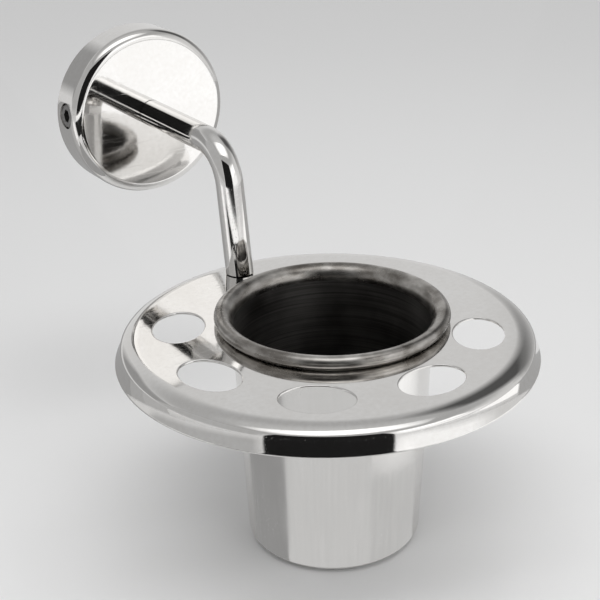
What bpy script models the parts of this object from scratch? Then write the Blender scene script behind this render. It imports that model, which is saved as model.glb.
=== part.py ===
"""Wall-hung tumbler holder: a wall cup, one bent arm, a pressed plate with brush holes, and a tumbler.

Lengths are in metres. +Z is up and +Y points into the wall. The origin is the centre of the wall
bracket's back face, on the wall's surface.
"""
import math

import bmesh
import bpy
from mathutils import Matrix, Vector

# Clearances
GAP = 0.0003
OVERRUN = 0.002
MERGE = 0.000005

# Wall cup
CUP_RADIUS = 0.029
CUP_WALL = 0.0032
CUP_FACE = 0.0025
CUP_EDGE_RADIUS = 0.0035
CUP_FILLET = 0.001

# Wall bracket and its screws
BRACKET_BASE = 0.0025
BRACKET_RING_INSET = 0.0046
BRACKET_RING_WALL = 0.0025
BRACKET_RING_CLEARANCE = 0.0008
WALL_SCREW_INSET = 0.0017
WALL_SCREW_RADIUS = 0.002
WALL_SCREW_LENGTH = 0.020
WALL_SCREW_POINT = 0.004
WALL_SCREW_HEAD_RADIUS = 0.004
WALL_SCREW_HEAD_HEIGHT = 0.0027

# Grub screw in the side of the cup
GRUB_RADIUS = 0.004
GRUB_SIDE_CLEARANCE = 0.0004
GRUB_TURN = math.radians(4)
GRUB_RECESS = 0.0003
GRUB_CHAMFER = 0.0005
GRUB_POINT_RADIUS = 0.0025
GRUB_POINT_LENGTH = 0.001
GRUB_SOCKET_ACROSS_FLATS = 0.004
GRUB_SOCKET_DEPTH = 0.0035

# Arm
ARM_RADIUS = 0.0045
ARM_BEND_RADIUS = 0.014
ARM_LEAN = math.radians(8.4)
ARM_DROP = 0.0408

# Screw and washer that hold the arm to the cup
CUP_SCREW_RADIUS = 0.0025
CUP_SCREW_GRIP = 0.010
CUP_SCREW_HEAD_RADIUS = 0.00475
CUP_SCREW_HEAD_HEIGHT = 0.0033
CUP_WASHER_RADIUS = 0.0046
CUP_WASHER_THICKNESS = 0.0012

# Screw and washer that hold the plate to the arm
PLATE_SCREW_RADIUS = 0.002
PLATE_SCREW_GRIP = 0.0075
PLATE_SCREW_HEAD_RADIUS = 0.0039
PLATE_SCREW_HEAD_HEIGHT = 0.0026
PLATE_WASHER_RADIUS = 0.0038
PLATE_WASHER_THICKNESS = 0.0009

# What all screws share
BORE_EXTRA_DEPTH = 0.001
RECESS_WIDTH = 0.001
RECESS_DEPTH = 0.0014
WASHER_SLIT = 0.0008
WASHER_SLIT_TILT = math.radians(20)
SCREW_END_CHAMFER = 0.0004
RECESS_SPAN_SHARE = 1.2
DOME_EDGE_SHARE = 0.45
DOME_FLAT_SHARE = 0.45

# Plate
PLATE_REACH = 0.1213
PLATE_SKIRT_BOTTOM = 0.0067
PLATE_SHEET = 0.0008
PLATE_SKIRT_FLARE = 0.0015
PLATE_SHOULDER_WIDTH = 0.006
PLATE_SHOULDER_DROP = 0.0026
PLATE_HOLE_ROUNDING = 0.00025

# Opening for the tumbler, and the brush holes
OPENING_CLEARANCE = 0.0017
OPENING_OFFSET = 0.0061
OPENING_BEARING = math.radians(44)
BRUSH_HOLES = 5
BRUSH_INNER_MARGIN = 0.0046
BRUSH_OUTER_MARGIN = 0.0034
BRUSH_BEARING = math.radians(231.5)
BRUSH_PITCH = math.radians(43.5)
BRUSH_HALF_LENGTH = 0.0105
BRUSH_HALF_WIDTH = 0.0076

# Tumbler
TUMBLER_SHEET = 0.0007
TUMBLER_DEPTH = 0.0723
TUMBLER_NECK_RADIUS = 0.0306
TUMBLER_TAPER = 0.0035
TUMBLER_CORNER_RADIUS = 0.0025
RIM_OVERLAP = 0.0014
CURL_RADIUS = 0.0019
CURL_END = math.radians(-135)
FLARE_START = -0.0004

# Facets round a turn
LARGE_STEPS = 60
MEDIUM_STEPS = 36
SMALL_STEPS = 20
ARC_STEPS = 3
FLARE_STEPS = 4
CURL_STEPS = 6
BEND_STEPS = 12
ROD_BEVEL_RESOLUTION = 5
SHARP_ANGLE = math.radians(35)
BEVEL_ANGLE = math.radians(55)

# Sizes and places worked out from the ones above
# The cup is as deep as the grub screw needs between the bracket's base and the cup's face.
CUP_INNER_DEPTH = BRACKET_BASE + 2 * (GRUB_RADIUS + GRUB_SIDE_CLEARANCE)
CUP_DEPTH = CUP_INNER_DEPTH + CUP_FACE
CUP_BORE_RADIUS = CUP_RADIUS - CUP_WALL
BRACKET_RING_RADIUS = CUP_BORE_RADIUS - BRACKET_RING_INSET
BRACKET_RING_BORE = BRACKET_RING_RADIUS - BRACKET_RING_WALL
WALL_SCREW_X = BRACKET_RING_BORE - WALL_SCREW_HEAD_RADIUS - WALL_SCREW_INSET
GRUB_Y = -(BRACKET_BASE + CUP_INNER_DEPTH) / 2
TUMBLER_BASE_RADIUS = TUMBLER_NECK_RADIUS - TUMBLER_TAPER
# The plate is built outwards from the tumbler: its opening, the ring of brush holes, then the shoulder.
OPENING_RADIUS = TUMBLER_NECK_RADIUS + OPENING_CLEARANCE
RIM_RADIUS = OPENING_RADIUS + RIM_OVERLAP
BRUSH_CIRCLE_RADIUS = OPENING_RADIUS + BRUSH_INNER_MARGIN + BRUSH_HALF_WIDTH
PLATE_FLAT_RADIUS = BRUSH_CIRCLE_RADIUS + BRUSH_HALF_WIDTH + BRUSH_OUTER_MARGIN
PLATE_SHOULDER_RADIUS = PLATE_FLAT_RADIUS + PLATE_SHOULDER_WIDTH
# The foot's outer side stands on the edge of the plate's flat.
FOOT_Y = PLATE_FLAT_RADIUS - ARM_RADIUS - PLATE_REACH
TUMBLER_PLACE = Vector((
    OPENING_OFFSET * math.cos(OPENING_BEARING),
    OPENING_OFFSET * math.sin(OPENING_BEARING) - PLATE_REACH,
    -ARM_DROP,
))
# The vertical screw hole in the leaning foot is centred between where the leg starts and where it ends.
PLATE_SCREW_Y = FOOT_Y + math.tan(ARM_LEAN) * PLATE_SCREW_GRIP / 2
# Local +Z turned to face away from the wall
FROM_WALL = Matrix.Rotation(math.radians(90), 4, 'X')
# Local +Z turned to face the cup's left side, a little above the middle
TO_LEFT = Matrix.Rotation(GRUB_TURN, 4, 'Y') @ Matrix.Rotation(math.radians(-90), 4, 'Y')


def clear_scene():
    for item in list(bpy.data.objects):
        bpy.data.objects.remove(item)


def new_collection(name):
    collection = bpy.data.collections.new(name)
    bpy.context.scene.collection.children.link(collection)
    return collection


def metal(name, colour, roughness):
    made = bpy.data.materials.new(name)
    made.use_nodes = True
    shader = made.node_tree.nodes["Principled BSDF"]
    shader.inputs["Base Color"].default_value = (*colour, 1)
    shader.inputs["Roughness"].default_value = roughness
    shader.inputs["Metallic"].default_value = 1
    return made


def place(item, matrix):
    item.parent = HOLDER
    item.matrix_local = matrix


def add_part(name, mesh, finish, matrix):
    mesh.materials.append(finish)
    mesh.shade_smooth()
    mesh.set_sharp_from_angle(angle=SHARP_ANGLE)
    part = bpy.data.objects.new(name, mesh)
    PARTS.objects.link(part)
    place(part, matrix)
    return part


def add_cutter(name, mesh, matrix):
    cutter = bpy.data.objects.new(name, mesh)
    CUTTERS.objects.link(cutter)
    cutter.hide_render = True
    cutter.display_type = 'WIRE'
    place(cutter, matrix)
    return cutter


def cut(part, cutter):
    boolean = part.modifiers.new(cutter.name, 'BOOLEAN')
    boolean.operation = 'DIFFERENCE'
    boolean.solver = 'EXACT'
    boolean.object = cutter


def mesh_from(name, shape):
    mesh = bpy.data.meshes.new(name)
    shape.to_mesh(mesh)
    shape.free()
    return mesh


def cylinder_mesh(name, radius, bottom, top, steps, stretch=1):
    """A cylinder along Z; stretch widens it along Y."""
    shape = bmesh.new()
    height = top - bottom
    bmesh.ops.create_cone(
        shape, cap_ends=True, segments=steps, radius1=radius, radius2=radius, depth=height,
        matrix=Matrix.Diagonal((1, stretch, 1, 1)) @ Matrix.Translation((0, 0, bottom + height / 2)))
    return mesh_from(name, shape)


def box_mesh(name, size):
    shape = bmesh.new()
    bmesh.ops.create_cube(shape, size=1, matrix=Matrix.Diagonal((*size, 1)))
    return mesh_from(name, shape)


def profile_mesh(name, points, closed):
    """A chain of points (radius, height) in the XZ plane, ready to be turned about Z."""
    shape = bmesh.new()
    corners = [shape.verts.new((radius, 0, height)) for radius, height in points]
    for first, second in zip(corners, corners[1:]):
        shape.edges.new((first, second))
    if closed:
        shape.edges.new((corners[-1], corners[0]))
    return mesh_from(name, shape)


def turned(name, points, finish, matrix, steps, closed=False):
    part = add_part(name, profile_mesh(name, points, closed), finish, matrix)
    screw = part.modifiers.new("turn", 'SCREW')
    screw.axis = 'Z'
    screw.steps = steps
    screw.render_steps = steps
    screw.use_merge_vertices = True
    screw.merge_threshold = MERGE
    screw.use_smooth_shade = True
    return part


def arc(centre_radius, centre_height, radius_x, radius_z, start, end, steps):
    """Points of an elliptical arc in a profile, from one angle to another."""
    angles = [start + (end - start) * step / steps for step in range(steps + 1)]
    return [
        (centre_radius + radius_x * math.cos(angle), centre_height + radius_z * math.sin(angle))
        for angle in angles
    ]


def pan_head_screw(name, radius, head_radius, head_height, length, point, finish, matrix):
    """A pan head screw with a cross recess: its head stands on local z = 0, its shank points down."""
    dome = arc(
        head_radius * DOME_FLAT_SHARE, head_height * DOME_EDGE_SHARE,
        head_radius * (1 - DOME_FLAT_SHARE), head_height * (1 - DOME_EDGE_SHARE),
        math.pi / 2, 0, ARC_STEPS)
    tip_radius = max(radius - point, radius / 4)
    points = [(0, head_height), *dome, (head_radius, 0), (radius, 0), (radius, point - length)]
    points += [(tip_radius, -length), (0, -length)]
    screw = turned(name, points, finish, matrix, SMALL_STEPS)
    span = head_radius * RECESS_SPAN_SHARE
    middle = Matrix.Translation((0, 0, head_height + OVERRUN / 2 - RECESS_DEPTH / 2))
    for number, size in enumerate(((span, RECESS_WIDTH), (RECESS_WIDTH, span))):
        slot = box_mesh(f"{name}_recess_{number}", (*size, RECESS_DEPTH + OVERRUN))
        cut(screw, add_cutter(slot.name, slot, matrix @ middle))
    return screw


def spring_washer(name, bore, radius, thickness, finish, matrix):
    """A split ring that lies on local z = 0."""
    section = [(bore, thickness), (radius, thickness), (radius, 0), (bore, 0)]
    washer = turned(name, section, finish, matrix, SMALL_STEPS, closed=True)
    slit = box_mesh(f"{name}_slit", (radius * 2, WASHER_SLIT, thickness * 2 + OVERRUN))
    tilt = Matrix.Translation((radius, 0, thickness / 2)) @ Matrix.Rotation(WASHER_SLIT_TILT, 4, 'X')
    cut(washer, add_cutter(slit.name, slit, matrix @ tilt))
    return washer


def make_cup():
    bore = CUP_SCREW_RADIUS + GAP
    outside = arc(
        CUP_RADIUS - CUP_EDGE_RADIUS, CUP_DEPTH - CUP_EDGE_RADIUS, CUP_EDGE_RADIUS, CUP_EDGE_RADIUS,
        math.pi / 2, 0, ARC_STEPS + 1)
    inside = arc(
        CUP_BORE_RADIUS - CUP_FILLET, CUP_INNER_DEPTH - CUP_FILLET, CUP_FILLET, CUP_FILLET,
        0, math.pi / 2, 2)
    section = [(bore, CUP_DEPTH), *outside, (CUP_RADIUS, 0), (CUP_BORE_RADIUS, 0), *inside]
    section.append((bore, CUP_INNER_DEPTH))
    cup = turned("flange_cup", section, POLISHED, FROM_WALL, LARGE_STEPS, closed=True)
    tapping = cylinder_mesh(
        "grub_tapping", GRUB_RADIUS + GAP, BRACKET_RING_RADIUS + GAP, CUP_RADIUS + OVERRUN, SMALL_STEPS)
    cut(cup, add_cutter(tapping.name, tapping, grub_place()))


def grub_place():
    """The grub screw's axis starts at the cup's middle and points to the left."""
    return Matrix.Translation((0, GRUB_Y, 0)) @ TO_LEFT


def make_grub_screw():
    outer = CUP_RADIUS - GRUB_RECESS
    inner = BRACKET_RING_RADIUS + GAP
    points = [
        (0, outer), (GRUB_RADIUS - GRUB_CHAMFER, outer), (GRUB_RADIUS, outer - GRUB_CHAMFER),
        (GRUB_RADIUS, inner + GRUB_POINT_LENGTH), (GRUB_POINT_RADIUS, inner), (0, inner),
    ]
    grub = turned("grub_screw", points, DARK_STEEL, grub_place(), SMALL_STEPS)
    corner_radius = GRUB_SOCKET_ACROSS_FLATS / 2 / math.cos(math.pi / 6)
    socket = cylinder_mesh(
        "grub_socket", corner_radius, outer - GRUB_SOCKET_DEPTH, outer + OVERRUN, 6)
    cut(grub, add_cutter(socket.name, socket, grub_place()))


def make_wall_bracket():
    ring_top = CUP_INNER_DEPTH - BRACKET_RING_CLEARANCE
    radius = CUP_BORE_RADIUS - GAP
    points = [
        (0, BRACKET_BASE), (BRACKET_RING_BORE, BRACKET_BASE), (BRACKET_RING_BORE, ring_top),
        (BRACKET_RING_RADIUS, ring_top), (BRACKET_RING_RADIUS, BRACKET_BASE),
        (radius, BRACKET_BASE), (radius, 0), (0, 0),
    ]
    bracket = turned("wall_bracket", points, SATIN, FROM_WALL, MEDIUM_STEPS)
    for side, x in wall_screw_places():
        hole = cylinder_mesh(
            f"wall_hole_{side}", WALL_SCREW_RADIUS + GAP, -OVERRUN, BRACKET_BASE + OVERRUN, SMALL_STEPS)
        cut(bracket, add_cutter(hole.name, hole, Matrix.Translation((x, 0, 0)) @ FROM_WALL))


def wall_screw_places():
    return ("left", -WALL_SCREW_X), ("right", WALL_SCREW_X)


def make_wall_screws():
    for side, x in wall_screw_places():
        seat = Matrix.Translation((x, -BRACKET_BASE - GAP, 0)) @ FROM_WALL
        pan_head_screw(
            f"wall_screw_{side}", WALL_SCREW_RADIUS, WALL_SCREW_HEAD_RADIUS, WALL_SCREW_HEAD_HEIGHT,
            WALL_SCREW_LENGTH, WALL_SCREW_POINT, ZINC, seat)


def make_cup_fixings():
    washer_seat = GAP - CUP_INNER_DEPTH
    head_seat = washer_seat + CUP_WASHER_THICKNESS + GAP
    to_wall = Matrix.Rotation(math.radians(-90), 4, 'X')
    spring_washer(
        "cup_washer", CUP_SCREW_RADIUS + GAP, CUP_WASHER_RADIUS, CUP_WASHER_THICKNESS, ZINC,
        Matrix.Translation((0, washer_seat, 0)) @ to_wall)
    length = head_seat + CUP_DEPTH + GAP + CUP_SCREW_GRIP
    pan_head_screw(
        "cup_screw", CUP_SCREW_RADIUS, CUP_SCREW_HEAD_RADIUS, CUP_SCREW_HEAD_HEIGHT, length,
        SCREW_END_CHAMFER, ZINC, Matrix.Translation((0, head_seat, 0)) @ to_wall)


def arm_route():
    """The arm's centre line: out from the cup, round the bend and down the leaning leg, past its foot."""
    corner = Vector((0, FOOT_Y + ARM_DROP * math.tan(ARM_LEAN), 0))
    down = Vector((0, -math.sin(ARM_LEAN), -math.cos(ARM_LEAN)))
    turn = math.pi / 2 - ARM_LEAN
    tangent = ARM_BEND_RADIUS * math.tan(turn / 2)
    centre = corner + Vector((0, tangent, -ARM_BEND_RADIUS))
    route = [Vector((0, -CUP_DEPTH - GAP, 0))]
    for step in range(BEND_STEPS + 1):
        angle = turn * step / BEND_STEPS
        route.append(centre + ARM_BEND_RADIUS * Vector((0, -math.sin(angle), math.cos(angle))))
    route.append(corner + down * (ARM_DROP / math.cos(ARM_LEAN) + ARM_RADIUS))
    return route


def rod_mesh(name, route):
    """A round bar along a route, as a closed mesh."""
    curve = bpy.data.curves.new(name, 'CURVE')
    curve.dimensions = '3D'
    curve.bevel_depth = ARM_RADIUS
    curve.bevel_resolution = ROD_BEVEL_RESOLUTION
    curve.use_fill_caps = True
    spline = curve.splines.new('POLY')
    spline.points.add(len(route) - 1)
    for point, position in zip(spline.points, route):
        point.co = (*position, 1)
    guide = bpy.data.objects.new(name, curve)
    CUTTERS.objects.link(guide)
    bpy.context.view_layer.update()
    solid = bpy.data.meshes.new_from_object(guide.evaluated_get(bpy.context.evaluated_depsgraph_get()))
    shape = bmesh.new()
    shape.from_mesh(solid)
    bmesh.ops.remove_doubles(shape, verts=shape.verts, dist=MERGE)
    bmesh.ops.transform(shape, matrix=guide.matrix_world, verts=shape.verts)
    shape.to_mesh(solid)
    shape.free()
    bpy.data.objects.remove(guide)
    return solid


def make_arm():
    arm = add_part("arm", rod_mesh("arm", arm_route()), POLISHED, Matrix())
    foot_level = GAP - ARM_DROP
    reach = ARM_RADIUS * 4
    below = box_mesh("foot_trim", (reach, reach, reach))
    cut(arm, add_cutter(below.name, below, Matrix.Translation((0, FOOT_Y, foot_level - reach / 2))))
    foot_bore = cylinder_mesh(
        "foot_bore", PLATE_SCREW_RADIUS + GAP, -OVERRUN, PLATE_SCREW_GRIP + BORE_EXTRA_DEPTH, SMALL_STEPS)
    cut(arm, add_cutter(foot_bore.name, foot_bore, Matrix.Translation((0, PLATE_SCREW_Y, foot_level))))
    cup_bore = cylinder_mesh(
        "cup_bore", CUP_SCREW_RADIUS + GAP, -OVERRUN, CUP_SCREW_GRIP + BORE_EXTRA_DEPTH, SMALL_STEPS)
    cut(arm, add_cutter(
        cup_bore.name, cup_bore, Matrix.Translation((0, -CUP_DEPTH - GAP, 0)) @ FROM_WALL))


def plate_sheet_mesh():
    """The plate's upper surface: a flat disc whose edge is drawn out over the shoulder and the skirt."""
    shape = bmesh.new()
    bmesh.ops.create_circle(shape, cap_ends=True, radius=PLATE_FLAT_RADIUS, segments=LARGE_STEPS)
    shoulder = arc(
        PLATE_FLAT_RADIUS, -PLATE_SHOULDER_DROP, PLATE_SHOULDER_RADIUS - PLATE_FLAT_RADIUS,
        PLATE_SHOULDER_DROP, math.pi / 2, 0, ARC_STEPS + 2)
    # The skirt leaves the shoulder upright and flares out along one round arc.
    flare_down = PLATE_SKIRT_BOTTOM - PLATE_SHOULDER_DROP
    flare_turn = 2 * math.atan(PLATE_SKIRT_FLARE / flare_down)
    flare_radius = flare_down / math.sin(flare_turn)
    skirt = arc(
        PLATE_SHOULDER_RADIUS + flare_radius, -PLATE_SHOULDER_DROP, flare_radius, flare_radius,
        math.pi, math.pi + flare_turn, ARC_STEPS)
    edges = list(shape.edges)
    for radius, height in shoulder[1:] + skirt[1:]:
        drawn = bmesh.ops.extrude_edge_only(shape, edges=edges)["geom"]
        edges = [item for item in drawn if isinstance(item, bmesh.types.BMEdge)]
        for corner in {corner for edge in edges for corner in edge.verts}:
            outward = corner.co.xy.normalized() * radius
            corner.co = (outward.x, outward.y, height)
    bmesh.ops.recalc_face_normals(shape, faces=shape.faces)
    return mesh_from("plate", shape)


def brush_hole_bearings():
    first = BRUSH_BEARING - BRUSH_PITCH * (BRUSH_HOLES - 1) / 2
    return [first + BRUSH_PITCH * number for number in range(BRUSH_HOLES)]


def make_plate():
    centre = Matrix.Translation((0, -PLATE_REACH, -ARM_DROP))
    plate = add_part("plate", plate_sheet_mesh(), POLISHED, centre)
    shell = plate.modifiers.new("sheet", 'SOLIDIFY')
    shell.thickness = PLATE_SHEET
    shell.offset = -1
    shell.use_even_offset = True
    bottom = -PLATE_SHEET - OVERRUN
    opening = cylinder_mesh("tumbler_opening", OPENING_RADIUS, bottom, OVERRUN, LARGE_STEPS)
    cut(plate, add_cutter(opening.name, opening, Matrix.Translation(TUMBLER_PLACE)))
    for number, bearing in enumerate(brush_hole_bearings(), start=1):
        hole = cylinder_mesh(
            f"brush_hole_{number}", BRUSH_HALF_WIDTH, bottom, OVERRUN, MEDIUM_STEPS,
            stretch=BRUSH_HALF_LENGTH / BRUSH_HALF_WIDTH)
        turn = Matrix.Rotation(bearing, 4, 'Z') @ Matrix.Translation((BRUSH_CIRCLE_RADIUS, 0, 0))
        cut(plate, add_cutter(hole.name, hole, centre @ turn))
    screw_hole = cylinder_mesh(
        "plate_screw_hole", PLATE_SCREW_RADIUS + GAP, bottom, OVERRUN, SMALL_STEPS)
    cut(plate, add_cutter(
        screw_hole.name, screw_hole, Matrix.Translation((0, PLATE_SCREW_Y, -ARM_DROP))))
    rounding = plate.modifiers.new("rounding", 'BEVEL')
    rounding.width = PLATE_HOLE_ROUNDING
    rounding.segments = 1
    rounding.limit_method = 'ANGLE'
    rounding.angle_limit = BEVEL_ANGLE


def make_plate_fixings():
    washer_seat = -ARM_DROP - PLATE_SHEET - GAP
    head_seat = washer_seat - PLATE_WASHER_THICKNESS - GAP
    downward = Matrix.Rotation(math.pi, 4, 'X')
    spring_washer(
        "plate_washer", PLATE_SCREW_RADIUS + GAP, PLATE_WASHER_RADIUS, PLATE_WASHER_THICKNESS, ZINC,
        Matrix.Translation((0, PLATE_SCREW_Y, washer_seat)) @ downward)
    length = PLATE_SCREW_GRIP - ARM_DROP - head_seat + GAP
    pan_head_screw(
        "plate_screw", PLATE_SCREW_RADIUS, PLATE_SCREW_HEAD_RADIUS, PLATE_SCREW_HEAD_HEIGHT, length,
        SCREW_END_CHAMFER, ZINC, Matrix.Translation((0, PLATE_SCREW_Y, head_seat)) @ downward)


def tumbler_section():
    """The middle of the tumbler's sheet, from the end of the curl, over the lip and down to the base."""
    half = TUMBLER_SHEET / 2
    curl_height = GAP + CURL_RADIUS
    curl_middle = CURL_RADIUS - half
    neck = TUMBLER_NECK_RADIUS - half
    curl = arc(RIM_RADIUS, curl_height, curl_middle, curl_middle, CURL_END, math.pi / 2, CURL_STEPS)
    flare = arc(
        RIM_RADIUS, FLARE_START, RIM_RADIUS - neck, curl_height + curl_middle - FLARE_START,
        math.pi / 2, math.pi, FLARE_STEPS)
    base = half - TUMBLER_DEPTH
    corner = arc(
        TUMBLER_BASE_RADIUS - half - TUMBLER_CORNER_RADIUS, base + TUMBLER_CORNER_RADIUS,
        TUMBLER_CORNER_RADIUS, TUMBLER_CORNER_RADIUS, 0, -math.pi / 2, ARC_STEPS)
    return [*curl, *flare[1:], *corner, (0, base)]


def make_tumbler():
    tumbler = turned(
        "tumbler", tumbler_section(), POLISHED, Matrix.Translation(TUMBLER_PLACE), LARGE_STEPS)
    shell = tumbler.modifiers.new("sheet", 'SOLIDIFY')
    shell.thickness = TUMBLER_SHEET
    shell.offset = 0
    shell.use_even_offset = True


clear_scene()
PARTS = new_collection("tumbler_holder")
CUTTERS = new_collection("cutters")
HOLDER = bpy.data.objects.new("holder_frame", None)
PARTS.objects.link(HOLDER)
POLISHED = metal("polished_steel", (0.77, 0.76, 0.75), 0.08)
SATIN = metal("satin_steel", (0.62, 0.62, 0.62), 0.35)
ZINC = metal("zinc_plated_steel", (0.66, 0.66, 0.64), 0.3)
DARK_STEEL = metal("dark_steel", (0.32, 0.32, 0.33), 0.3)

make_wall_bracket()
make_wall_screws()
make_cup()
make_grub_screw()
make_cup_fixings()
make_arm()
make_plate()
make_plate_fixings()
make_tumbler()
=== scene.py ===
"""The looks of the wall-hung tumbler holder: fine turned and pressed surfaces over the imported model."""
import math

import bmesh
import bpy
from mathutils import Matrix, Vector


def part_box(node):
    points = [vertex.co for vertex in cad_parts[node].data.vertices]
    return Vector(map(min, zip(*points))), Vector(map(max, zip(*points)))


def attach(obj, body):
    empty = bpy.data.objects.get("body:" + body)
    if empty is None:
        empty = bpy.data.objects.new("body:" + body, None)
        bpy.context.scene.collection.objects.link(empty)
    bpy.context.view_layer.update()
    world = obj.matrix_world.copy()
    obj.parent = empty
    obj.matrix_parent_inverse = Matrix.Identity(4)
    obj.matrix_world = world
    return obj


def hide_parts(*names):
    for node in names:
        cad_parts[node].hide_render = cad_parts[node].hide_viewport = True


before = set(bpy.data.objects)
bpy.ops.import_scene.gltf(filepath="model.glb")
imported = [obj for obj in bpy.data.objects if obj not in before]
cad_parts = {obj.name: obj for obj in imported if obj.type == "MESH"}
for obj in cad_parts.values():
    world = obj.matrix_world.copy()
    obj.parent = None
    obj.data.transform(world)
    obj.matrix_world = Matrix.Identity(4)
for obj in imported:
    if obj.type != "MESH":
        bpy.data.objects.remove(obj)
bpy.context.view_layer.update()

# Sizes that the model's boxes don't tell, in metres and radians
CLEARANCE = 0.0003
GUARD = 0.00012
LONG_STRAIGHT = 0.0006
CUP_FACE = 0.0025
CUP_WALL = 0.0032
CUP_EDGE = 0.0035
CUP_LIP = 0.0004
CUP_INNER_FILLET = 0.0008
CUP_SCREW_HOLE = 0.0028
BRACKET_RING_RADIUS = 0.0212
GRUB_RADIUS = 0.004
GRUB_CLEARANCE = 0.0004
GRUB_TURN = math.radians(4)
GRUB_RECESS = 0.0003
GRUB_CHAMFER = 0.0005
GRUB_PITCH = 0.00125
GRUB_POINT_RADIUS = 0.0025
GRUB_POINT_LENGTH = 0.001
GRUB_SOCKET = 0.004
GRUB_SOCKET_DEPTH = 0.0035
GRUB_SOCKET_EDGE = 0.00015
HOLE_BEVEL = 0.0002
HOLE_BEVEL_SEGMENTS = 3
HOLE_BEVEL_ANGLE = math.radians(60)
PLATE_FLAT_RADIUS = 0.0555
PLATE_SHOULDER_RADIUS = 0.0614
PLATE_SHOULDER_DROP = 0.0026
PLATE_WAIST_TILT = math.radians(14)
PLATE_SHEET = 0.0008
PLATE_SKIRT_BOTTOM = 0.0067
HOLE_EDGE = 0.00036
OPENING_RADIUS = 0.0323
BRUSH_CIRCLE_RADIUS = 0.0445
BRUSH_BEARING = math.radians(231.5)
BRUSH_PITCH = math.radians(43.5)
BRUSH_HOLES = 5
BRUSH_HALF_LENGTH = 0.0105
BRUSH_HALF_WIDTH = 0.0076
TUMBLER_SHEET = 0.0007
TUMBLER_NECK_RADIUS = 0.0306
TUMBLER_TAPER = 0.0035
TUMBLER_CORNER = 0.0025
RIM_RADIUS = 0.0337
CURL_RADIUS = 0.0019
CURL_END = math.radians(-135)
FLARE_START = -0.0004
# Depth under the plate's top from which the tumbler gets the rim's steel of wear and painted shade
RIM_WEAR_AND_SHADE_DEPTH = 0.0006
ARM_BEND_RADIUS = 0.014
ARM_LEAN = math.radians(8.4)
ARM_BORE = 0.0028
ARM_BORE_DEPTH = 0.011
FOOT_BORE = 0.0023
FOOT_BORE_DEPTH = 0.0085
WALL_SCREW_HEAD = 0.0027
WALL_SCREW_HEAD_RADIUS = 0.004
WALL_SCREW_RADIUS = 0.002
WALL_SCREW_CORE = 0.0014
WALL_SCREW_PITCH = 0.0016
WALL_SCREW_POINT = 0.004
WALL_SCREW_DOME = math.radians(68)
WALL_SCREW_RECESS = 0.0022
WALL_SCREW_RECESS_DEPTH = 0.0013
WALL_SCREW_RECESS_TIP = 1.4
CREST_NARROWNESS = 4

# Angles past which an edge is shaded sharp
CUP_SHARP = math.radians(40)
GRUB_SHARP = math.radians(30)
WALL_SCREW_SHARP = math.radians(35)
ARM_SHARP = math.radians(50)

# Finishes of the tumbler's outside, inside and rim, and the last two's places among its materials. The
# inside's steel is darkened as painted shade, the rim's as wear and painted shade
TUMBLER_FINISHES_AND_SHADES = ("drawn", "inside", "rim")
INSIDE_PAINTED_SHADE, RIM_WEAR_AND_SHADE = 1, 2
FACING_UP = 0.7

# Counts of steps round a circle, along an arc or along a thread's turn
FINE_STEPS = 240
OVAL_STEPS = 128
GRUB_STEPS = 96
ROUND_STEPS = 64
ARC_STEPS = 20
LONG_ARC_STEPS = 40
EDGE_STEPS = 6
CARD_STEPS = 12
THREAD_RINGS = 8

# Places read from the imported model
PLATE_LOW, PLATE_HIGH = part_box("plate")
ARM_LOW, ARM_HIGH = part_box("arm")
CUP_LOW, CUP_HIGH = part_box("flange_cup")
TUMBLER_LOW, TUMBLER_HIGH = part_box("tumbler")
GRUB_LOW, GRUB_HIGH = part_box("grub_screw")
PLATE_CENTRE = Vector(((PLATE_LOW.x + PLATE_HIGH.x) / 2, (PLATE_LOW.y + PLATE_HIGH.y) / 2, PLATE_HIGH.z))
PLATE_RADIUS = (PLATE_HIGH.x - PLATE_LOW.x) / 2
TUMBLER_PLACE = Vector((
    (TUMBLER_LOW.x + TUMBLER_HIGH.x) / 2, (TUMBLER_LOW.y + TUMBLER_HIGH.y) / 2, PLATE_CENTRE.z))
TUMBLER_DEPTH = PLATE_CENTRE.z - TUMBLER_LOW.z
ARM_RADIUS = (ARM_HIGH.x - ARM_LOW.x) / 2
CUP_DEPTH = -CUP_LOW.y
CUP_RADIUS = CUP_HIGH.x
FOOT_Y = PLATE_CENTRE.y + PLATE_FLAT_RADIUS - ARM_RADIUS
FROM_WALL = Matrix.Rotation(math.radians(90), 4, 'X')


def arc(centre_x, centre_z, radius_x, radius_z, start, end, steps=ARC_STEPS):
    """Points along a part of an ellipse."""
    angles = [start + (end - start) * step / steps for step in range(steps + 1)]
    return [(centre_x + radius_x * math.cos(a), centre_z + radius_z * math.sin(a)) for a in angles]


def rounded(corners):
    """A profile of (radius, height, fillet) corners, with each fillet turned into an arc."""
    points = []
    count = len(corners)
    for number, (x, z, fillet) in enumerate(corners):
        here = Vector((x, z))
        if fillet == 0:
            points.append(here)
            continue
        to_last = (Vector(corners[number - 1][:2]) - here).normalized()
        to_next = (Vector(corners[(number + 1) % count][:2]) - here).normalized()
        half = to_last.angle(to_next) / 2
        start = here + to_last * (fillet / math.tan(half))
        end = here + to_next * (fillet / math.tan(half))
        centre = here + (to_last + to_next).normalized() * (fillet / math.sin(half))
        for step in range(ARC_STEPS + 1):
            blend = start.lerp(end, step / ARC_STEPS) - centre
            points.append(centre + blend.normalized() * fillet)
    return [(point[0], point[1]) for point in points]


def guarded(points, closed=False):
    """Adds a point close to each end of every long straight, to keep smooth shading in the corners."""
    line = list(points) + ([points[0]] if closed else [])
    made = []
    for first, second in zip(line, line[1:]):
        made.append(first)
        length = math.dist(first, second)
        if length > LONG_STRAIGHT:
            share = GUARD / length
            made.append(tuple(a + (b - a) * share for a, b in zip(first, second)))
            made.append(tuple(b + (a - b) * share for a, b in zip(first, second)))
    if not closed:
        made.append(line[-1])
    return made


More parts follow.
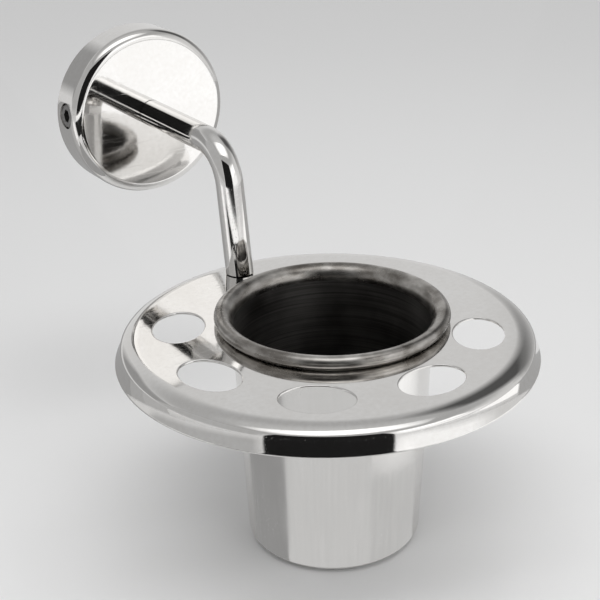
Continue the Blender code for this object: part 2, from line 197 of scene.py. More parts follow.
def offset_line(points, distance):
    """The line beside a profile, to the right of its direction for a positive distance."""
    moved = []
    for number, point in enumerate(points):
        before = Vector(points[max(number - 1, 0)])
        after = Vector(points[min(number + 1, len(points) - 1)])
        along = (after - before).normalized()
        moved.append((point[0] + along.y * distance, point[1] - along.x * distance))
    return moved


def bridge(shape, first, second):
    """Faces between two rings of the same count, or between a ring and a single point."""
    count = max(len(first), len(second))
    for number in range(count):
        after = (number + 1) % count
        corners = [first[number % len(first)], second[number % len(second)]]
        corners += [second[after % len(second)], first[after % len(first)]]
        shape.faces.new(dict.fromkeys(corners))


def skin(shape, rings, closed=False):
    """Joins a row of rings of points with faces, and gives back the rings of the shape's own points."""
    made = [[shape.verts.new(point) for point in ring] for ring in rings]
    for first, second in zip(made, made[1:] + (made[:1] if closed else [])):
        bridge(shape, first, second)
    return made


def fill_between(shape, rings):
    """Fills the flat face that an outer ring and the rings of its holes enclose."""
    edges = []
    for ring in rings:
        edges += [shape.edges.get(pair) for pair in zip(ring, ring[1:] + ring[:1])]
    bmesh.ops.triangle_fill(shape, use_beauty=True, use_dissolve=False, edges=edges)


def finish_mesh(name, shape, matrix=Matrix()):
    bmesh.ops.recalc_face_normals(shape, faces=shape.faces)
    bmesh.ops.transform(shape, matrix=matrix, verts=shape.verts)
    mesh = bpy.data.meshes.new(name)
    shape.to_mesh(mesh)
    shape.free()
    mesh.shade_smooth()
    piece = bpy.data.objects.new(name, mesh)
    bpy.context.scene.collection.objects.link(piece)
    return piece


def circle(radius, height, steps):
    angles = [2 * math.pi * step / steps for step in range(steps)]
    return [(radius * math.cos(a), radius * math.sin(a), height) for a in angles]


def lathe(name, points, matrix, steps=FINE_STEPS, closed=False):
    """Turns a profile of (radius, height) about Z."""
    shape = bmesh.new()
    rings = []
    for radius, height in guarded(points, closed):
        rings.append(circle(radius, height, steps) if radius else [(0, 0, height)])
    skin(shape, rings, closed)
    return finish_mesh(name, shape, matrix)


def keep_modified(piece):
    """Applies a piece's modifiers."""
    evaluated = piece.evaluated_get(bpy.context.evaluated_depsgraph_get())
    mesh = bpy.data.meshes.new_from_object(evaluated)
    piece.modifiers.clear()
    piece.data = mesh


def dress(piece, body, node, slot, *materials):
    """Puts materials on a piece, lets it ride on a body and take the place of a node."""
    piece.data.materials.clear()
    for material in materials:
        piece.data.materials.append(material)
    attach(piece, body)
    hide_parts(node)


def paint_tumbler_shade_and_wear(tumbler):
    """Gives the inside a steel darkened to near-black as painted shade, and the rolled rim a darker,
    mottled steel of wear and painted shade. The outside keeps the first one.
    """
    rim_level = PLATE_CENTRE.z - RIM_WEAR_AND_SHADE_DEPTH
    for face in tumbler.data.polygons:
        outward = Vector((face.center.x - TUMBLER_PLACE.x, face.center.y - TUMBLER_PLACE.y, 0))
        if face.center.z > rim_level:
            face.material_index = RIM_WEAR_AND_SHADE
        elif outward.dot(face.normal) < 0 or face.normal.z > FACING_UP:
            face.material_index = INSIDE_PAINTED_SHADE


# Pieces

def make_cup():
    """The turned cup, with the grub screw's hole drilled through its left side."""
    bore = CUP_RADIUS - CUP_WALL
    inner_depth = CUP_DEPTH - CUP_FACE
    corners = [
        (CUP_SCREW_HOLE, CUP_DEPTH, 0), (CUP_RADIUS, CUP_DEPTH, CUP_EDGE), (CUP_RADIUS, 0, CUP_LIP),
        (bore, 0, CUP_LIP), (bore, inner_depth, CUP_INNER_FILLET), (CUP_SCREW_HOLE, inner_depth, 0),
    ]
    cup = lathe("wall_cup", rounded(corners), FROM_WALL, closed=True)
    hole = GRUB_RADIUS + GRUB_CLEARANCE
    reach = CUP_RADIUS * 2
    drill = lathe("drill", [(0, reach), (hole, reach), (hole, 0), (0, 0)], grub_place(), ROUND_STEPS)
    drilled = cup.modifiers.new("grub_hole", 'BOOLEAN')
    drilled.operation = 'DIFFERENCE'
    drilled.object = drill
    softened = cup.modifiers.new("hole_edge", 'BEVEL')
    softened.width = HOLE_BEVEL
    softened.segments = HOLE_BEVEL_SEGMENTS
    softened.limit_method = 'ANGLE'
    softened.angle_limit = HOLE_BEVEL_ANGLE
    keep_modified(cup)
    bpy.data.objects.remove(drill)
    cup.data.set_sharp_from_angle(angle=CUP_SHARP)
    return cup


def grub_place():
    """The grub screw's axis starts at the cup's middle and points to the left, a little upwards."""
    middle = Vector((0, (GRUB_LOW.y + GRUB_HIGH.y) / 2, 0))
    return Matrix.Translation(middle) @ Matrix.Rotation(math.radians(-90) + GRUB_TURN, 4, 'Y')


def hexagon(across_flats, height, steps=ROUND_STEPS):
    """Points round a hexagon, at even angles."""
    points = []
    for step in range(steps):
        angle = 2 * math.pi * step / steps
        from_flat = (angle + math.pi / 6) % (math.pi / 3) - math.pi / 6
        radius = across_flats / 2 / math.cos(from_flat)
        points.append((radius * math.cos(angle), radius * math.sin(angle), height))
    return points


def make_grub_screw():
    """A socket set screw: chamfered end with a hexagon socket, ridged side and cone point."""
    outer = CUP_RADIUS - GRUB_RECESS
    inner = BRACKET_RING_RADIUS + CLEARANCE
    socket_floor = outer - GRUB_SOCKET_DEPTH
    socket_mouth = outer - GRUB_SOCKET_EDGE
    rings = [[(0, 0, socket_floor - GRUB_CHAMFER)]]
    for level in (socket_floor, socket_floor + GUARD, socket_mouth - GUARD, socket_mouth):
        rings.append(hexagon(GRUB_SOCKET, level, GRUB_STEPS))
    rings.append(hexagon(GRUB_SOCKET + GRUB_SOCKET_EDGE * 2, outer, GRUB_STEPS))
    profile = [(GRUB_RADIUS - GRUB_CHAMFER - GUARD, outer), (GRUB_RADIUS - GRUB_CHAMFER, outer)]
    crest = GRUB_RADIUS
    level = outer - GRUB_CHAMFER
    while level - GRUB_PITCH > inner + GRUB_POINT_LENGTH:
        profile += [(crest, level), (crest - GRUB_PITCH / 2, level - GRUB_PITCH / 2)]
        level -= GRUB_PITCH
    profile += [(crest, level), (GRUB_POINT_RADIUS, inner)]
    rings += [circle(radius, height, GRUB_STEPS) for radius, height in profile]
    rings.append([(0, 0, inner)])
    shape = bmesh.new()
    skin(shape, rings)
    grub = finish_mesh("socket_set_screw", shape, grub_place())
    grub.data.set_sharp_from_angle(angle=GRUB_SHARP)
    return grub


def make_wall_screw(node):
    """A pan head with a tapered hexagon recess, over a helical thread and a point."""
    low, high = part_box(node)
    length = high.y - low.y
    seat = length - WALL_SCREW_HEAD
    rings = [[(0, 0, length - WALL_SCREW_RECESS_DEPTH * WALL_SCREW_RECESS_TIP)]]
    rings.append(hexagon(WALL_SCREW_RECESS / 2, length - WALL_SCREW_RECESS_DEPTH))
    rings.append(hexagon(WALL_SCREW_RECESS, length))
    head = arc(0, seat, WALL_SCREW_HEAD_RADIUS, WALL_SCREW_HEAD, WALL_SCREW_DOME, 0)
    head += [(WALL_SCREW_HEAD_RADIUS - GUARD, seat), (WALL_SCREW_RADIUS, seat)]
    rings += [circle(radius, height, ROUND_STEPS) for radius, height in head]
    count = round((seat - CLEARANCE) / WALL_SCREW_PITCH * THREAD_RINGS)
    for number in range(1, count):
        height = seat * (1 - number / count)
        taper = min(1, height / WALL_SCREW_POINT)
        ring = []
        for step in range(ROUND_STEPS):
            phase = (height / WALL_SCREW_PITCH - step / ROUND_STEPS) % 1
            crest = max(0, 1 - abs(phase - 0.5) * CREST_NARROWNESS)
            radius = taper * (WALL_SCREW_CORE + (WALL_SCREW_RADIUS - WALL_SCREW_CORE) * crest)
            angle = 2 * math.pi * step / ROUND_STEPS
            ring.append((radius * math.cos(angle), radius * math.sin(angle), height))
        rings.append(ring)
    rings.append([(0, 0, 0)])
    shape = bmesh.new()
    skin(shape, rings)
    place = Matrix.Translation(((low.x + high.x) / 2, high.y, (low.z + high.z) / 2)) @ FROM_WALL
    screw = finish_mesh(f"threaded_{node}", shape, place)
    screw.data.set_sharp_from_angle(angle=WALL_SCREW_SHARP)
    return screw


def arm_route():
    """Points of the arm's centre line in the YZ plane, from the cup to the plate."""
    corner = Vector((0, FOOT_Y - PLATE_CENTRE.z * math.tan(ARM_LEAN), 0))
    down = Vector((0, -math.sin(ARM_LEAN), -math.cos(ARM_LEAN)))
    turn = math.pi / 2 - ARM_LEAN
    tangent = ARM_BEND_RADIUS * math.tan(turn / 2)
    centre = corner + Vector((0, tangent, -ARM_BEND_RADIUS))
    start = Vector((0, -CUP_DEPTH - CLEARANCE, 0))
    bend = []
    for step in range(ROUND_STEPS + 1):
        angle = turn * step / ROUND_STEPS
        bend.append(centre + ARM_BEND_RADIUS * Vector((0, -math.sin(angle), math.cos(angle))))
    end = corner + down * (-PLATE_CENTRE.z / math.cos(ARM_LEAN))
    return [start, start + Vector((0, -GUARD, 0)), bend[0] + Vector((0, GUARD, 0)), *bend,
            bend[-1] + down * GUARD, end - down * GUARD, end]


def make_arm():
    """The bent bar, cut level at its foot, with a screw's bore in each end."""
    route = arm_route()
    rings = []
    side = Vector((1, 0, 0))
    for number, place in enumerate(route):
        along = (route[min(number + 1, len(route) - 1)] - route[max(number - 1, 0)]).normalized()
        lift = side.cross(along)
        ring = []
        for step in range(ROUND_STEPS):
            angle = 2 * math.pi * step / ROUND_STEPS
            ring.append(place + ARM_RADIUS * (math.cos(angle) * side + math.sin(angle) * lift))
        rings.append(ring)
    foot_level = PLATE_CENTRE.z + CLEARANCE
    down = (route[-1] - route[-2]).normalized()
    for ring, height in ((rings[-1], 0), (rings[-2], GUARD)):
        for step, point in enumerate(ring):
            ring[step] = point + down * ((foot_level + height - point.z) / down.z)
    cup_bore = [route[0] + (point - route[0]) * (ARM_BORE / ARM_RADIUS) for point in rings[0]]
    cup_bore_end = [point + Vector((0, -ARM_BORE_DEPTH, 0)) for point in cup_bore]
    foot_centre = Vector((0, FOOT_Y + math.tan(ARM_LEAN) * FOOT_BORE_DEPTH / 2, foot_level))
    foot_bore = []
    for point in rings[-1]:
        outward = Vector((point.x, point.y - foot_centre.y, 0)).normalized()
        foot_bore.append(foot_centre + outward * FOOT_BORE)
    foot_bore_end = [point + Vector((0, 0, FOOT_BORE_DEPTH)) for point in foot_bore]
    chain = [[route[0] + Vector((0, -ARM_BORE_DEPTH, 0))], cup_bore_end, cup_bore, *rings]
    chain += [foot_bore, foot_bore_end, [foot_centre + Vector((0, 0, FOOT_BORE_DEPTH))]]
    shape = bmesh.new()
    skin(shape, chain)
    arm = finish_mesh("bent_arm", shape)
    arm.data.set_sharp_from_angle(angle=ARM_SHARP)
    return arm


def sheet_edge(first, second):
    """A half-round end between the two sides of a sheet, from one point to the other."""
    middle = Vector(first).lerp(Vector(second), 0.5)
    spoke = Vector(first) - middle
    points = []
    for step in range(1, EDGE_STEPS):
        angle = -math.pi * step / EDGE_STEPS
        points.append((
            middle.x + spoke.x * math.cos(angle) - spoke.y * math.sin(angle),
            middle.y + spoke.x * math.sin(angle) + spoke.y * math.cos(angle)))
    return points


def plate_rim_section():
    """The plate's edge: out over the shoulder, down the flaring skirt, round the hem and back inside."""
    flare_down = PLATE_SKIRT_BOTTOM - PLATE_SHOULDER_DROP
    flare_out = PLATE_RADIUS - PLATE_SHOULDER_RADIUS
    chord_tilt = math.atan2(flare_out, flare_down)
    flare_turn = 2 * (chord_tilt - PLATE_WAIST_TILT)
    flare_radius = math.hypot(flare_down, flare_out) / 2 / math.sin(flare_turn / 2)
    skirt = arc(
        PLATE_SHOULDER_RADIUS + flare_radius * math.cos(PLATE_WAIST_TILT),
        -PLATE_SHOULDER_DROP + flare_radius * math.sin(PLATE_WAIST_TILT), flare_radius, flare_radius,
        math.pi + PLATE_WAIST_TILT, math.pi + PLATE_WAIST_TILT + flare_turn)
    width, drop = PLATE_SHOULDER_RADIUS - PLATE_FLAT_RADIUS, PLATE_SHOULDER_DROP
    shoulder = []
    for step in range(LONG_ARC_STEPS + 1):
        angle = math.pi / 2 * (1 - step / LONG_ARC_STEPS)
        lean = (1 - math.sin(angle)) * drop * math.tan(PLATE_WAIST_TILT)
        x = PLATE_FLAT_RADIUS + (width - drop * math.tan(PLATE_WAIST_TILT)) * math.cos(angle) + lean
        shoulder.append((x, drop * (math.sin(angle) - 1)))
    outside = [(PLATE_FLAT_RADIUS - GUARD, 0), *shoulder, *skirt[1:]]
    inside = offset_line(outside, PLATE_SHEET)
    return [*outside, *sheet_edge(outside[-1], inside[-1]), *reversed(inside)]


def hole_section():
    """The edge of a punched hole, from the top face to the bottom: (offset from its outline, height)."""
    bottom = -PLATE_SHEET
    top_edge = arc(HOLE_EDGE, -HOLE_EDGE, -HOLE_EDGE, HOLE_EDGE, math.pi / 2, 0, EDGE_STEPS)
    bottom_edge = arc(HOLE_EDGE, bottom + HOLE_EDGE, -HOLE_EDGE, -HOLE_EDGE, 0, math.pi / 2, EDGE_STEPS)
    return [(HOLE_EDGE + GUARD, 0), *top_edge, *bottom_edge, (HOLE_EDGE + GUARD, bottom)]


def oval(centre, bearing, half_width, half_length, offset, height):
    """An ellipse round a centre, grown by an offset along its own normal."""
    points = []
    for step in range(OVAL_STEPS):
        angle = 2 * math.pi * step / OVAL_STEPS
        normal = Vector((math.cos(angle) / half_width, math.sin(angle) / half_length)).normalized()
        across = half_width * math.cos(angle) + offset * normal.x
        along = half_length * math.sin(angle) + offset * normal.y
        points.append((
            centre[0] + across * math.cos(bearing) - along * math.sin(bearing),
            centre[1] + across * math.sin(bearing) + along * math.cos(bearing), height))
    return points


def plate_holes():
    """(centre, bearing, half width, half length) of every hole in the plate, from the plate's centre."""
    opening = TUMBLER_PLACE - PLATE_CENTRE
    holes = [((opening.x, opening.y), 0, OPENING_RADIUS, OPENING_RADIUS)]
    for number in range(BRUSH_HOLES):
        bearing = BRUSH_BEARING + BRUSH_PITCH * (number - (BRUSH_HOLES - 1) / 2)
        centre = (BRUSH_CIRCLE_RADIUS * math.cos(bearing), BRUSH_CIRCLE_RADIUS * math.sin(bearing))
        holes.append((centre, bearing, BRUSH_HALF_WIDTH, BRUSH_HALF_LENGTH))
    screw_y = FOOT_Y + math.tan(ARM_LEAN) * FOOT_BORE_DEPTH / 2 - PLATE_CENTRE.y
    holes.append(((0, screw_y), 0, FOOT_BORE, FOOT_BORE))
    return holes


def make_plate():
    """The pressed sheet: two flat faces pierced by the holes, and the turned rim round them."""
    shape = bmesh.new()
    edges = []
    for hole in plate_holes():
        edges.append(skin(shape, [oval(*hole, offset, height) for offset, height in hole_section()]))
    rim = [circle(radius, height, FINE_STEPS) for radius, height in plate_rim_section()]
    edges.append(skin(shape, rim))
    fill_between(shape, [rings[0] for rings in edges])
    fill_between(shape, [rings[-1] for rings in edges])
    return finish_mesh("pressed_plate", shape, Matrix.Translation(PLATE_CENTRE))


def make_tumbler():
    """The tumbler's wall, from the rolled rim down the taper to the base, at the thickness of its sheet."""
    half = TUMBLER_SHEET / 2
    curl_height = CLEARANCE + CURL_RADIUS
    curl_middle = CURL_RADIUS - half
    neck = TUMBLER_NECK_RADIUS - half
    base_radius = TUMBLER_NECK_RADIUS - TUMBLER_TAPER
    curl = arc(RIM_RADIUS, curl_height, curl_middle, curl_middle, CURL_END, math.pi / 2, LONG_ARC_STEPS)
    flare = arc(
        RIM_RADIUS, FLARE_START, RIM_RADIUS - neck, curl_height + curl_middle - FLARE_START,
        math.pi / 2, math.pi)
    base = half - TUMBLER_DEPTH
    corner = arc(
        base_radius - half - TUMBLER_CORNER, base + TUMBLER_CORNER, TUMBLER_CORNER, TUMBLER_CORNER,
        0, -math.pi / 2)
    middle = guarded([*curl, *flare[1:], *corner, (0, base)])
    outside = offset_line(middle, -half)
    inside = offset_line(middle, half)
    outside[-1] = (0, base - half)
    inside[-1] = (0, base + half)
    section = [*reversed(inside), *sheet_edge(inside[0], outside[0]), *outside]
    return lathe("drinking_tumbler", section, Matrix.Translation(TUMBLER_PLACE))


# Materials

# Sockets of the Mix node when it mixes colours
MIX_SHARE, MIX_FIRST, MIX_SECOND, MIX_RESULT = 0, 6, 7, 2

# Noise scales are in cells to the metre
SMUDGE_SCALE = 55
SMUDGE_DETAIL = 4
SMUDGE_SPREAD = (0.3, 0.7)
GRAIN_DETAIL = 3
TONE_SPREAD = (0.12, 0.4)
HAIR_SCALE = (45, 2600, 2600)
HAIR_TURNS = ((0.3, 0.5, 0.9), (1.2, -0.6, -0.5), (-0.7, 1.1, 2.2))
HAIR_SPREAD = (0.7, 0.76)
HAIR_ROUGHNESS = 0.06
HAIR_DEPTH = 0.15
BUMP_UNIT = 0.00001

# Name, darker and lighter colour, roughness range, grain scale and depth, ripple scale and depth
STEELS = {
    "polished": (
        "polished_steel", ((0.79, 0.775, 0.755), (0.84, 0.83, 0.815)), (0.025, 0.06),
        (700, 700, 700), 0.1, 260, 0.4),
    "drawn": (
        "drawn_steel", ((0.755, 0.745, 0.73), (0.79, 0.78, 0.765)), (0.1, 0.18),
        (1100, 1100, 14), 0.3, 200, 1),
    # Painted shade: the tumbler's inside, steel darkened to near-black in its colour
    "inside": (
        "tumbler_inside_painted_shade", ((0.1, 0.094, 0.09), (0.26, 0.25, 0.24)), (0.24, 0.4),
        (20, 20, 1800), 2, 150, 2),
    # Wear and painted shade: the rolled rim, mottled and darkened overall in its colour
    "rim": (
        "worn_and_shaded_rim", ((0.15, 0.135, 0.12), (0.66, 0.64, 0.61)), (0.15, 0.28),
        (160, 160, 420), 2.5, 110, 8),
    "satin": (
        "satin_steel", ((0.5, 0.5, 0.49), (0.64, 0.635, 0.62)), (0.28, 0.42),
        (900, 30, 900), 2, 300, 2),
    "zinc": (
        "zinc_steel", ((0.52, 0.53, 0.54), (0.72, 0.72, 0.7)), (0.22, 0.38),
        (900, 900, 900), 2, 700, 3),
    "dark": (
        "dark_steel", ((0.24, 0.235, 0.23), (0.46, 0.45, 0.44)), (0.2, 0.34),
        (1500, 1500, 1500), 3, 900, 3),
}

# Solids that stay as they are, and the steel that each gets
CARRIED_OVER = {
    "wall_bracket": "satin", "cup_screw": "zinc", "cup_washer": "zinc", "plate_screw": "zinc",
    "plate_washer": "zinc",
}


class Nodes:
    """Short calls that add and link shader nodes."""

    def __init__(self, material):
        self.tree = material.node_tree
        self.shader = self.tree.nodes["Principled BSDF"]
        coordinates = self.tree.nodes.new("ShaderNodeTexCoord")
        self.place = coordinates.outputs["Object"]
        self.generated = coordinates.outputs["Generated"]

    def add(self, kind, inputs, output=0, **settings):
        node = self.tree.nodes.new(f"ShaderNode{kind}")
        for setting, value in settings.items():
            setattr(node, setting, value)
        for name, value in inputs.items():
            if isinstance(value, bpy.types.NodeSocket):
                self.tree.links.new(value, node.inputs[name])
            else:
                node.inputs[name].default_value = value
        return node.outputs[output]

    def stretched(self, scale, turn=(0, 0, 0)):
        return self.add("Mapping", {"Vector": self.place, "Scale": scale, "Rotation": turn})

    def noise(self, vector, scale=1, detail=2):
        return self.add("TexNoise", {"Vector": vector, "Scale": scale, "Detail": detail})

    def ranged(self, value, start, end, low, high):
        inputs = {"Value": value, "From Min": start, "From Max": end, "To Min": low, "To Max": high}
        return self.add("MapRange", inputs)

    def plus(self, first, second):
        return self.add("Math", {0: first, 1: second}, operation='ADD')

    def times(self, first, second):
        return self.add("Math", {0: first, 1: second}, operation='MULTIPLY')

    def larger(self, first, second):
        return self.add("Math", {0: first, 1: second}, operation='MAXIMUM')

    def from_middle(self, value):
        """How far a coordinate that runs from 0 to 1 is from its middle."""
        centred = self.add("Math", {0: value, 1: 0.5}, operation='SUBTRACT')
        return self.add("Math", {0: centred}, operation='ABSOLUTE')

    def blend(self, share, first, second):
        colours = {MIX_SHARE: share, MIX_FIRST: (*first, 1), MIX_SECOND: (*second, 1)}
        return self.add("Mix", colours, MIX_RESULT, data_type='RGBA')

    def finish(self, colour, roughness, height, depth):
        self.tree.links.new(colour, self.shader.inputs["Base Color"])
        self.tree.links.new(roughness, self.shader.inputs["Roughness"])
        bump = self.add("Bump", {"Height": height, "Distance": depth, "Strength": 1})
        self.tree.links.new(bump, self.shader.inputs["Normal"])


def steel(name, colours, roughness, grain, grain_depth, ripple, ripple_depth):
    """Metal with smudges in its gloss, a fine grain, shallow ripples and a few hair scratches."""
    made = bpy.data.materials.new(name)
    made.use_nodes = True
    nodes = Nodes(made)
    nodes.shader.inputs["Metallic"].default_value = 1
    smudges = nodes.noise(nodes.place, SMUDGE_SCALE, SMUDGE_DETAIL)
    lines = nodes.noise(nodes.stretched(grain), detail=GRAIN_DETAIL)
    ripples = nodes.noise(nodes.place, ripple)
    hairs = 0
    for turn in HAIR_TURNS:
        strands = nodes.noise(nodes.stretched(HAIR_SCALE, turn), detail=1)
        hairs = nodes.larger(hairs, nodes.ranged(strands, *HAIR_SPREAD, 0, 1))
    gloss = nodes.ranged(smudges, *SMUDGE_SPREAD, *roughness)
    gloss = nodes.plus(gloss, nodes.times(lines, roughness[0]))
    gloss = nodes.plus(gloss, nodes.times(hairs, HAIR_ROUGHNESS))
    tone = nodes.ranged(nodes.times(smudges, lines), *TONE_SPREAD, 0, 1)
    relief = nodes.plus(nodes.times(lines, grain_depth), nodes.times(ripples, ripple_depth))
    relief = nodes.plus(relief, nodes.times(hairs, -HAIR_DEPTH))
    nodes.finish(nodes.blend(tone, *colours), gloss, relief, BUMP_UNIT)
    return made


# Stage

CAMERA_PLACE = (-0.19889, -0.41161, 0.12713)
CAMERA_YAW = math.radians(35.97)
CAMERA_PITCH = math.radians(21.30)
CAMERA_FOCAL_PIXELS = 1307.2
CAMERA_CENTRE_PIXELS = (360.7, 230.3)
PHOTO_PIXELS = 600
SENSOR_MILLIMETRES = 36

FLOOR_REACH = 3
FLOOR_FADE = (0.45, 1.9)
FLOOR_GREY = 0.76
FLOOR_ROUGHNESS = 0.7

# Bearings in degrees from +X about the tumbler, distance, lowest and highest level, brightness, soft share
UPRIGHT_CARDS = {
    "front_flag": ((203.5, 267), 0.9, (-0.11, 0.8), 0.012, 0.025),
    "right_flag": ((-6, 44), 1, (0.08, 1.5), 0.09, 0.3),
    "left_card": ((90, 148), 1.1, (0.02, 0.64), 0.33, 0.18),
    "side_wall": ((138, 204), 1, (-0.1, 1.15), 0.46, 0.1),
    "right_wall": ((-12, 46), 1.05, (-0.1, 0.5), 0.44, 0.2),
    "bright_wall": ((258, 326), 1, (-0.11, 0.35), 1.08, 0.3),
    "face_card": ((286, 314), 0.9, (0.28, 0.72), 1.25, 0.15),
}

# Bearings in degrees, nearest and farthest distance, brightness, soft share
LOW_CARDS = {
    "low_flag": ((184, 268), (0.2, 0.5), 0.02),
    "bright_card": ((280, 341), (0.06, 0.6), 1.2, 0.12),
    "leg_glow": ((200, 262), (0.52, 0.88), 1.15, 0.06),
    "left_glow": ((158, 174), (0.22, 0.55), 1.1),
    "back_card": ((78, 122), (0.14, 1.05), 0.36, 0.06),
    "back_left_card": ((122, 134), (0.14, 1.05), 0.43),
    "far_left_card": ((134, 152), (0.14, 1.05), 0.48),
    "back_right_card": ((-18, 42), (0.2, 1.05), 0.42, 0.06),
}

# Bearings in degrees that the tumbler's side faces, length on the floor, brightness
BODY_CARDS = {
    "side_card": ((170, 204), 0.16, 0.34),
    "front_card": ((204, 259), 0.125, 0.68),
    "corner_card": ((259, 300), 0.045, 0.62),
}

# Place, size, radiance of the lamp, brightness of the card that is mirrored in its place
SOFTBOXES = {
    "top_softbox": ((-0.08, -0.32, 1), (1.2, 0.6), 3.1, 1.5),
    "right_softbox": ((0.16, -0.97, 0.3), (0.42, 0.8), 1.2, 1.5),
}
GLOW_SOFTNESS = 0.3

# Brightness of the world by the sine of the angle above the horizon
WORLD_STEPS = (
    (0, 0.72), (0.12, 0.72), (0.42, 0.7), (0.56, 0.62), (0.68, 0.44), (0.84, 0.42), (0.94, 0.55), (1, 0.6),
)


def shaded(name, colour, roughness):
    """A plain material of one colour."""
    made = bpy.data.materials.new(name)
    made.use_nodes = True
    shader = made.node_tree.nodes["Principled BSDF"]
    shader.inputs["Base Color"].default_value = (*colour, 1)
    shader.inputs["Roughness"].default_value = roughness
    return made


def make_floor():
    """A pale floor that fades out into the world's horizon."""
    shape = bmesh.new()
    bmesh.ops.create_grid(shape, x_segments=1, y_segments=1, size=FLOOR_REACH)
    floor = finish_mesh("floor", shape, Matrix.Translation((0, 0, TUMBLER_LOW.z - CLEARANCE)))
    made = shaded("floor", (FLOOR_GREY, FLOOR_GREY, FLOOR_GREY), FLOOR_ROUGHNESS)
    nodes = Nodes(made)
    distance = nodes.add("VectorMath", {0: nodes.place}, "Value", operation='LENGTH')
    cover = nodes.add("MapRange", {
        "Value": distance, "From Min": FLOOR_FADE[0], "From Max": FLOOR_FADE[1], "To Min": 1, "To Max": 0,
    }, interpolation_type='SMOOTHSTEP')
    nodes.tree.links.new(cover, nodes.shader.inputs["Alpha"])
    floor.data.materials.append(made)


def flag(name, corners, grey, soft=None):
    """A studio card that only shows as a reflection, and can fade out towards its edges."""
    shape = bmesh.new()
    shape.faces.new([shape.verts.new(corner) for corner in corners])
    card = finish_mesh(name, shape)
    made = shaded(name, (0, 0, 0), 1)
    nodes = Nodes(made)
    nodes.shader.inputs["Specular IOR Level"].default_value = 0
    nodes.shader.inputs["Emission Color"].default_value = (grey, grey, grey, 1)
    nodes.shader.inputs["Emission Strength"].default_value = 1
    card.data.materials.append(made)
    for ray in ("camera", "diffuse", "transmission", "volume_scatter", "shadow"):
        setattr(card, f"visible_{ray}", False)
    if soft:
        parts = nodes.tree.nodes.new("ShaderNodeSeparateXYZ")
        nodes.tree.links.new(nodes.generated, parts.inputs[0])
        widest = sorted(range(3), key=lambda axis: card.dimensions[axis])[1:]
        offsets = [nodes.from_middle(parts.outputs[axis]) for axis in widest]
        fades = [nodes.ranged(offset, 0.5, 0.5 - soft, 0, 1) for offset in offsets]
        nodes.tree.links.new(nodes.times(*fades), nodes.shader.inputs["Alpha"])


def around(bearing, reach, height):
    """A point beside the tumbler, at a bearing from +X."""
    across, along = reach * math.cos(bearing), reach * math.sin(bearing)
    return (TUMBLER_PLACE.x + across, TUMBLER_PLACE.y + along, height)


def spread(degrees):
    """Even bearings from the first to the last, in radians."""
    first, last = [math.radians(end) for end in degrees]
    return [first + (last - first) * step / CARD_STEPS for step in range(CARD_STEPS + 1)]


def low_card(name, bearings, reaches, grey, soft=None):
    """A card just over the floor, between two bearings and two distances."""
    floor = TUMBLER_LOW.z + CLEARANCE
    inner = [around(bearing, reaches[0], floor) for bearing in spread(bearings)]
    outer = [around(bearing, reaches[1], floor) for bearing in spread(bearings)]
    flag(name, inner + outer[::-1], grey, soft)


def body_card(name, normals, reach, grey):
    """A card just over the floor that the tumbler's side mirrors to the camera between two bearings."""
    floor = TUMBLER_LOW.z + CLEARANCE * 2
    camera_bearing = math.atan2(CAMERA_PLACE[1] - TUMBLER_PLACE.y, CAMERA_PLACE[0] - TUMBLER_PLACE.x)
    near, far = [], []
    for bearing in spread(normals):
        foot = around(bearing, TUMBLER_NECK_RADIUS - TUMBLER_TAPER, floor)
        mirrored = 2 * bearing - camera_bearing
        near.append(foot)
        far.append((foot[0] + reach * math.cos(mirrored), foot[1] + reach * math.sin(mirrored), floor))
    flag(name, near + far[::-1], grey)


def upright_card(name, bearings, reach, levels, grey, soft):
    """A flat card that stands at a distance from the tumbler, between two bearings."""
    ends = [math.radians(bearing) for bearing in bearings]
    low = [around(bearing, reach, levels[0]) for bearing in ends]
    high = [around(bearing, reach, levels[1]) for bearing in ends]
    flag(name, low + high[::-1], grey, soft)


def make_flags():
    for name, card in UPRIGHT_CARDS.items():
        upright_card(name, *card)
    for name, card in LOW_CARDS.items():
        low_card(name, *card)
    for name, card in BODY_CARDS.items():
        body_card(name, *card)


def softbox(name, place, size, radiance, glow):
    """An area lamp that faces the plate. The steel mirrors a card with soft edges in its place."""
    lamp = bpy.data.lights.new(name, 'AREA')
    lamp.shape = 'RECTANGLE'
    lamp.size, lamp.size_y = size
    lamp.energy = radiance * math.pi * lamp.size * lamp.size_y
    holder = bpy.data.objects.new(name, lamp)
    turn = (PLATE_CENTRE - Vector(place)).to_track_quat('-Z', 'Y').to_matrix().to_4x4()
    holder.matrix_world = Matrix.Translation(place) @ turn
    holder.visible_glossy = False
    bpy.context.scene.collection.objects.link(holder)
    corners = [(x * size[0] / 2, y * size[1] / 2, 0) for x, y in ((-1, -1), (1, -1), (1, 1), (-1, 1))]
    flag(f"{name}_glow", [holder.matrix_world @ Vector(corner) for corner in corners], glow, GLOW_SOFTNESS)


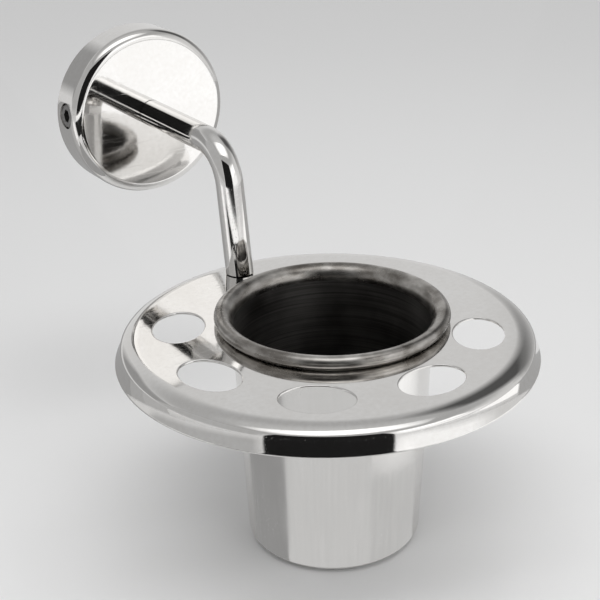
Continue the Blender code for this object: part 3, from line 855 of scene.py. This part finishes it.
def make_world():
    """A pale horizon under a darker ceiling, the same for every ray."""
    world = bpy.data.worlds.new("studio")
    bpy.context.scene.world = world
    world.use_nodes = True
    nodes, links = world.node_tree.nodes, world.node_tree.links
    place = nodes.new("ShaderNodeTexCoord")
    parts = nodes.new("ShaderNodeSeparateXYZ")
    ramp = nodes.new("ShaderNodeValToRGB")
    ramp.color_ramp.interpolation = 'B_SPLINE'
    stops = ramp.color_ramp.elements
    while len(stops) < len(WORLD_STEPS):
        stops.new(1)
    for stop, (height, value) in zip(stops, WORLD_STEPS):
        stop.position = height
        stop.color = (value, value, value, 1)
    links.new(place.outputs["Generated"], parts.inputs[0])
    links.new(parts.outputs["Z"], ramp.inputs[0])
    links.new(ramp.outputs["Color"], nodes["Background"].inputs["Color"])


def make_camera():
    lens = bpy.data.cameras.new("camera")
    lens.sensor_width = SENSOR_MILLIMETRES
    lens.lens = CAMERA_FOCAL_PIXELS / PHOTO_PIXELS * SENSOR_MILLIMETRES
    lens.shift_x = (PHOTO_PIXELS / 2 - CAMERA_CENTRE_PIXELS[0]) / PHOTO_PIXELS
    lens.shift_y = (CAMERA_CENTRE_PIXELS[1] - PHOTO_PIXELS / 2) / PHOTO_PIXELS
    camera = bpy.data.objects.new("camera", lens)
    camera.location = CAMERA_PLACE
    camera.rotation_euler = (math.pi / 2 - CAMERA_PITCH, 0, -CAMERA_YAW)
    bpy.context.scene.collection.objects.link(camera)
    bpy.context.scene.camera = camera


make_camera()
make_world()
make_floor()
make_flags()
for NAME, BOX in SOFTBOXES.items():
    softbox(NAME, *BOX)
STEEL_MATERIALS = {NAME: steel(*ROW) for NAME, ROW in STEELS.items()}
dress(make_cup(), "holder", "flange_cup", "polished_steel", STEEL_MATERIALS["polished"])
dress(make_grub_screw(), "holder", "grub_screw", "dark_steel", STEEL_MATERIALS["dark"])
dress(make_arm(), "holder", "arm", "polished_steel", STEEL_MATERIALS["polished"])
dress(make_plate(), "holder", "plate", "polished_steel", STEEL_MATERIALS["polished"])
TUMBLER = make_tumbler()
dress(TUMBLER, "tumbler", "tumbler", "polished_steel", *[STEEL_MATERIALS[NAME] for NAME in TUMBLER_FINISHES_AND_SHADES])
# Paints shade into the tumbler's inside, and wear and shade into its rim
paint_tumbler_shade_and_wear(TUMBLER)
for NODE in ("wall_screw_left", "wall_screw_right"):
    dress(make_wall_screw(NODE), "holder", NODE, "zinc_steel", STEEL_MATERIALS["zinc"])
for NODE, FINISH in CARRIED_OVER.items():
    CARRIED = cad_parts[NODE]
    CARRIED.data.materials.clear()
    CARRIED.data.materials.append(STEEL_MATERIALS[FINISH])

bpy.context.scene.view_settings.view_transform = "Standard"
